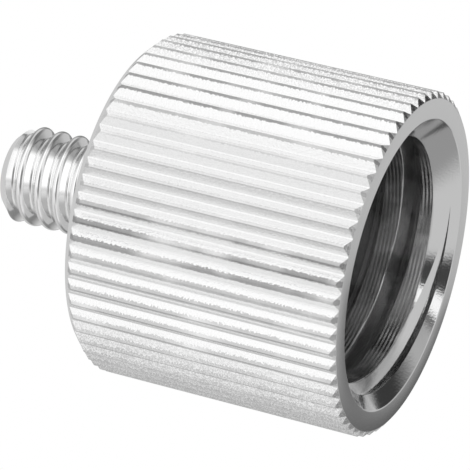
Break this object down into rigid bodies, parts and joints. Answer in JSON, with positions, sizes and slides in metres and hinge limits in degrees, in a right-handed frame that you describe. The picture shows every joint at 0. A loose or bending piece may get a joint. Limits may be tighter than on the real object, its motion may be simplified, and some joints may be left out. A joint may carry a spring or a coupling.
{
  "type": "tripod thread adapter",
  "caption": "Bright turned thread adapter: a straight-knurled barrel with a wide threaded socket in its mouth and a slim threaded stud on its back.",
  "frame": {"origin": "centre of the flat ring round the mouth, which is the face the adapter stands on", "axes": "+Z along the adapter's axis, from the mouth towards the stud's tip; the knurl has a ridge on +X"},
  "size_m": [0.022, 0.022, 0.027],
  "materials": {
    "nickel_plate": "bright nickel plate over turned metal, with fine tool lines"
  },
  "bodies": {
    "root": {"adapter_body": "nickel_plate"}
  },
  "joints": []
}
